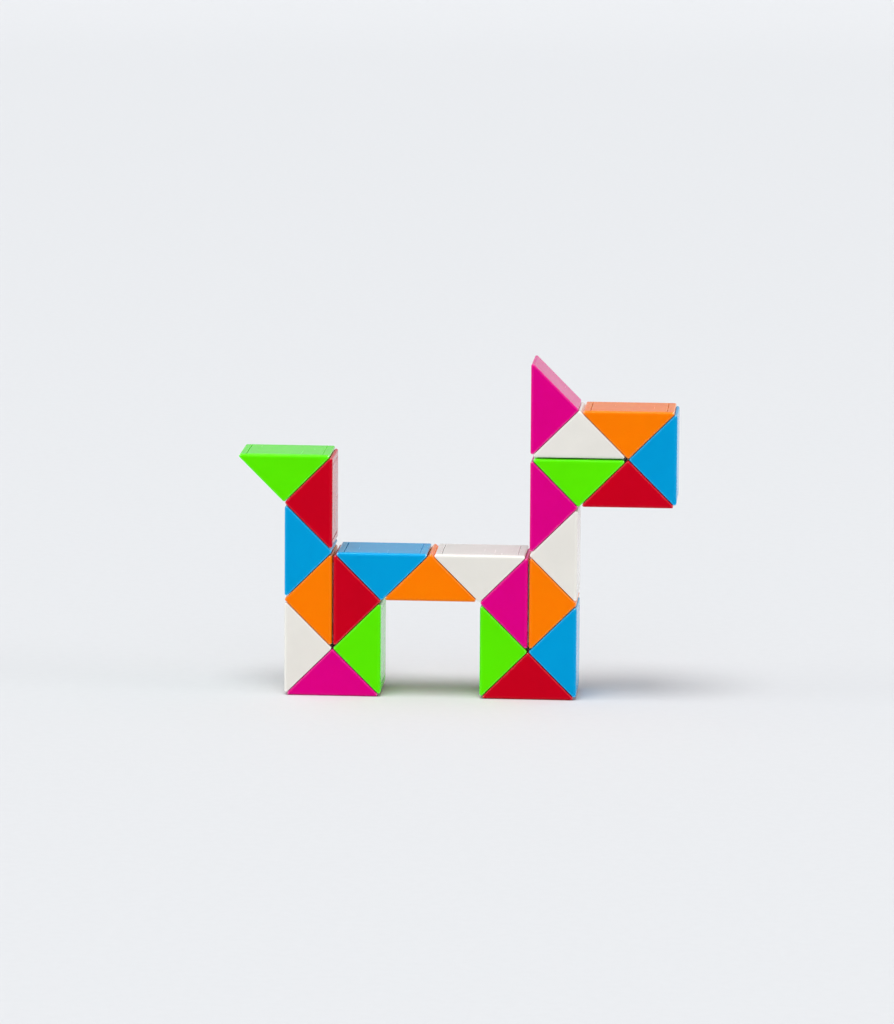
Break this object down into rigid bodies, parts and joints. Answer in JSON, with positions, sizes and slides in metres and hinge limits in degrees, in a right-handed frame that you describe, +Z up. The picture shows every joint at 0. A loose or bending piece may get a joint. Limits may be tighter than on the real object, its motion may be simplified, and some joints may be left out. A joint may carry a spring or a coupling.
{
  "type": "twisty snake puzzle",
  "caption": "Snake puzzle of equal triangular plastic wedges that twist on sprung pivots, folded flat into the figure of a standing dog.",
  "frame": {"origin": "under the middle of the figure's length and depth, on the surface its two feet stand on", "axes": "+X from the tail to the head, +Y from the front to the back, +Z up"},
  "size_m": [0.107, 0.0166, 0.0831],
  "materials": {
    "green_plastic": "glossy moulded ABS",
    "red_plastic": "glossy moulded ABS",
    "blue_plastic": "glossy moulded ABS",
    "orange_plastic": "glossy moulded ABS",
    "white_plastic": "glossy moulded ABS",
    "magenta_plastic": "glossy moulded ABS",
    "plated_steel": "zinc plated"
  },
  "bodies": {
    "wedge_01": {"wedge_01_shell": "green_plastic", "wedge_01_cover": "green_plastic"},
    "wedge_02": {"wedge_02_shell": "red_plastic", "wedge_02_cover": "red_plastic", "pivot_hardware_02": "plated_steel"},
    "wedge_03": {"wedge_03_shell": "blue_plastic", "wedge_03_cover": "blue_plastic"},
    "wedge_04": {"wedge_04_shell": "orange_plastic", "wedge_04_cover": "orange_plastic", "pivot_hardware_04": "plated_steel"},
    "wedge_05": {"wedge_05_shell": "white_plastic", "wedge_05_cover": "white_plastic"},
    "wedge_06": {"wedge_06_shell": "magenta_plastic", "wedge_06_cover": "magenta_plastic", "pivot_hardware_06": "plated_steel"},
    "wedge_07": {"wedge_07_shell": "green_plastic", "wedge_07_cover": "green_plastic"},
    "wedge_08": {"wedge_08_shell": "red_plastic", "wedge_08_cover": "red_plastic", "pivot_hardware_08": "plated_steel"},
    "wedge_09": {"wedge_09_shell": "blue_plastic", "wedge_09_cover": "blue_plastic"},
    "wedge_10": {"wedge_10_shell": "orange_plastic", "wedge_10_cover": "orange_plastic", "pivot_hardware_10": "plated_steel"},
    "wedge_11": {"wedge_11_shell": "white_plastic", "wedge_11_cover": "white_plastic"},
    "wedge_12": {"wedge_12_shell": "magenta_plastic", "wedge_12_cover": "magenta_plastic", "pivot_hardware_12": "plated_steel"},
    "wedge_13": {"wedge_13_shell": "green_plastic", "wedge_13_cover": "green_plastic"},
    "wedge_14": {"wedge_14_shell": "red_plastic", "wedge_14_cover": "red_plastic", "pivot_hardware_14": "plated_steel"},
    "wedge_15": {"wedge_15_shell": "blue_plastic", "wedge_15_cover": "blue_plastic"},
    "wedge_16": {"wedge_16_shell": "orange_plastic", "wedge_16_cover": "orange_plastic", "pivot_hardware_16": "plated_steel"},
    "wedge_17": {"wedge_17_shell": "white_plastic", "wedge_17_cover": "white_plastic"},
    "wedge_18": {"wedge_18_shell": "magenta_plastic", "wedge_18_cover": "magenta_plastic", "pivot_hardware_18": "plated_steel"},
    "wedge_19": {"wedge_19_shell": "green_plastic", "wedge_19_cover": "green_plastic"},
    "wedge_20": {"wedge_20_shell": "red_plastic", "wedge_20_cover": "red_plastic", "pivot_hardware_20": "plated_steel"},
    "wedge_21": {"wedge_21_shell": "blue_plastic", "wedge_21_cover": "blue_plastic"},
    "wedge_22": {"wedge_22_shell": "orange_plastic", "wedge_22_cover": "orange_plastic", "pivot_hardware_22": "plated_steel"},
    "wedge_23": {"wedge_23_shell": "white_plastic", "wedge_23_cover": "white_plastic"},
    "wedge_24": {"wedge_24_shell": "magenta_plastic", "wedge_24_cover": "magenta_plastic", "pivot_hardware_24": "plated_steel"}
  },
  "joints": [
    {"name": "twist_01", "type": "hinge", "parent": "wedge_02", "child": "wedge_01", "pos_m": [-0.03646, 0, 0.05394], "axis": [0.7071, 0, -0.7071], "continuous": true},
    {"name": "twist_02", "type": "hinge", "parent": "wedge_03", "child": "wedge_02", "pos_m": [-0.03646, 0, 0.04192], "axis": [-0.7071, 0, -0.7071], "range_deg": [-9, 9]},
    {"name": "twist_03", "type": "hinge", "parent": "wedge_04", "child": "wedge_03", "pos_m": [-0.03646, 0, 0.0299], "axis": [-0.7071, 0, 0.7071], "continuous": true},
    {"name": "twist_04", "type": "hinge", "parent": "wedge_05", "child": "wedge_04", "pos_m": [-0.03646, 0, 0.01788], "axis": [0.7071, 0, 0.7071], "range_deg": [-2.5, 2.5]},
    {"name": "twist_05", "type": "hinge", "parent": "wedge_06", "child": "wedge_05", "pos_m": [-0.03646, 0, 0.00586], "axis": [0.7071, 0, -0.7071], "range_deg": [-2.5, 2.5]},
    {"name": "twist_06", "type": "hinge", "parent": "wedge_07", "child": "wedge_06", "pos_m": [-0.02444, 0, 0.00586], "axis": [0.7071, 0, 0.7071], "range_deg": [-2.5, 2.5]},
    {"name": "twist_07", "type": "hinge", "parent": "wedge_08", "child": "wedge_07", "pos_m": [-0.02444, 0, 0.01788], "axis": [0.7071, 0, -0.7071], "range_deg": [-2.5, 2.5]},
    {"name": "twist_08", "type": "hinge", "parent": "wedge_09", "child": "wedge_08", "pos_m": [-0.02444, 0, 0.0299], "axis": [0.7071, 0, 0.7071], "range_deg": [-9, 9]},
    {"name": "twist_09", "type": "hinge", "parent": "wedge_10", "child": "wedge_09", "pos_m": [-0.01242, 0, 0.0299], "axis": [0.7071, 0, -0.7071], "range_deg": [-9, 9]},
    {"name": "twist_10", "type": "hinge", "parent": "wedge_11", "child": "wedge_10", "pos_m": [-0.0004, 0, 0.0299], "axis": [-0.7071, 0, -0.7071], "range_deg": [-9, 9]},
    {"name": "twist_11", "type": "hinge", "parent": "wedge_12", "child": "wedge_11", "pos_m": [0.01162, 0, 0.0299], "axis": [-0.7071, 0, 0.7071], "range_deg": [-9, 9]},
    {"name": "twist_12", "type": "hinge", "parent": "wedge_13", "child": "wedge_12", "pos_m": [0.01162, 0, 0.01788], "axis": [0.7071, 0, 0.7071], "range_deg": [-2.5, 2.5]},
    {"name": "twist_13", "type": "hinge", "parent": "wedge_14", "child": "wedge_13", "pos_m": [0.01162, 0, 0.00586], "axis": [0.7071, 0, -0.7071], "range_deg": [-2.5, 2.5]},
    {"name": "twist_14", "type": "hinge", "parent": "wedge_14", "child": "wedge_15", "pos_m": [0.02365, 0, 0.00586], "axis": [0.7071, 0, 0.7071], "range_deg": [-2.5, 2.5]},
    {"name": "twist_15", "type": "hinge", "parent": "wedge_15", "child": "wedge_16", "pos_m": [0.02365, 0, 0.01788], "axis": [0.7071, 0, -0.7071], "range_deg": [-2.5, 2.5]},
    {"name": "twist_16", "type": "hinge", "parent": "wedge_16", "child": "wedge_17", "pos_m": [0.02365, 0, 0.0299], "axis": [0.7071, 0, 0.7071], "continuous": true},
    {"name": "twist_17", "type": "hinge", "parent": "wedge_17", "child": "wedge_18", "pos_m": [0.02365, 0, 0.04192], "axis": [-0.7071, 0, 0.7071], "range_deg": [-9, 9]},
    {"name": "twist_18", "type": "hinge", "parent": "wedge_18", "child": "wedge_19", "pos_m": [0.02365, 0, 0.05394], "axis": [0.7071, 0, 0.7071], "continuous": true},
    {"name": "twist_19", "type": "hinge", "parent": "wedge_19", "child": "wedge_20", "pos_m": [0.03567, 0, 0.05394], "axis": [-0.7071, 0, 0.7071], "range_deg": [-2.5, 2.5]},
    {"name": "twist_20", "type": "hinge", "parent": "wedge_20", "child": "wedge_21", "pos_m": [0.04769, 0, 0.05394], "axis": [0.7071, 0, 0.7071], "range_deg": [-2.5, 2.5]},
    {"name": "twist_21", "type": "hinge", "parent": "wedge_21", "child": "wedge_22", "pos_m": [0.04769, 0, 0.06596], "axis": [-0.7071, 0, 0.7071], "range_deg": [-2.5, 2.5]},
    {"name": "twist_22", "type": "hinge", "parent": "wedge_22", "child": "wedge_23", "pos_m": [0.03567, 0, 0.06596], "axis": [0.7071, 0, 0.7071], "range_deg": [-2.5, 2.5]},
    {"name": "twist_23", "type": "hinge", "parent": "wedge_23", "child": "wedge_24", "pos_m": [0.02365, 0, 0.06596], "axis": [0.7071, 0, -0.7071], "continuous": true}
  ]
}
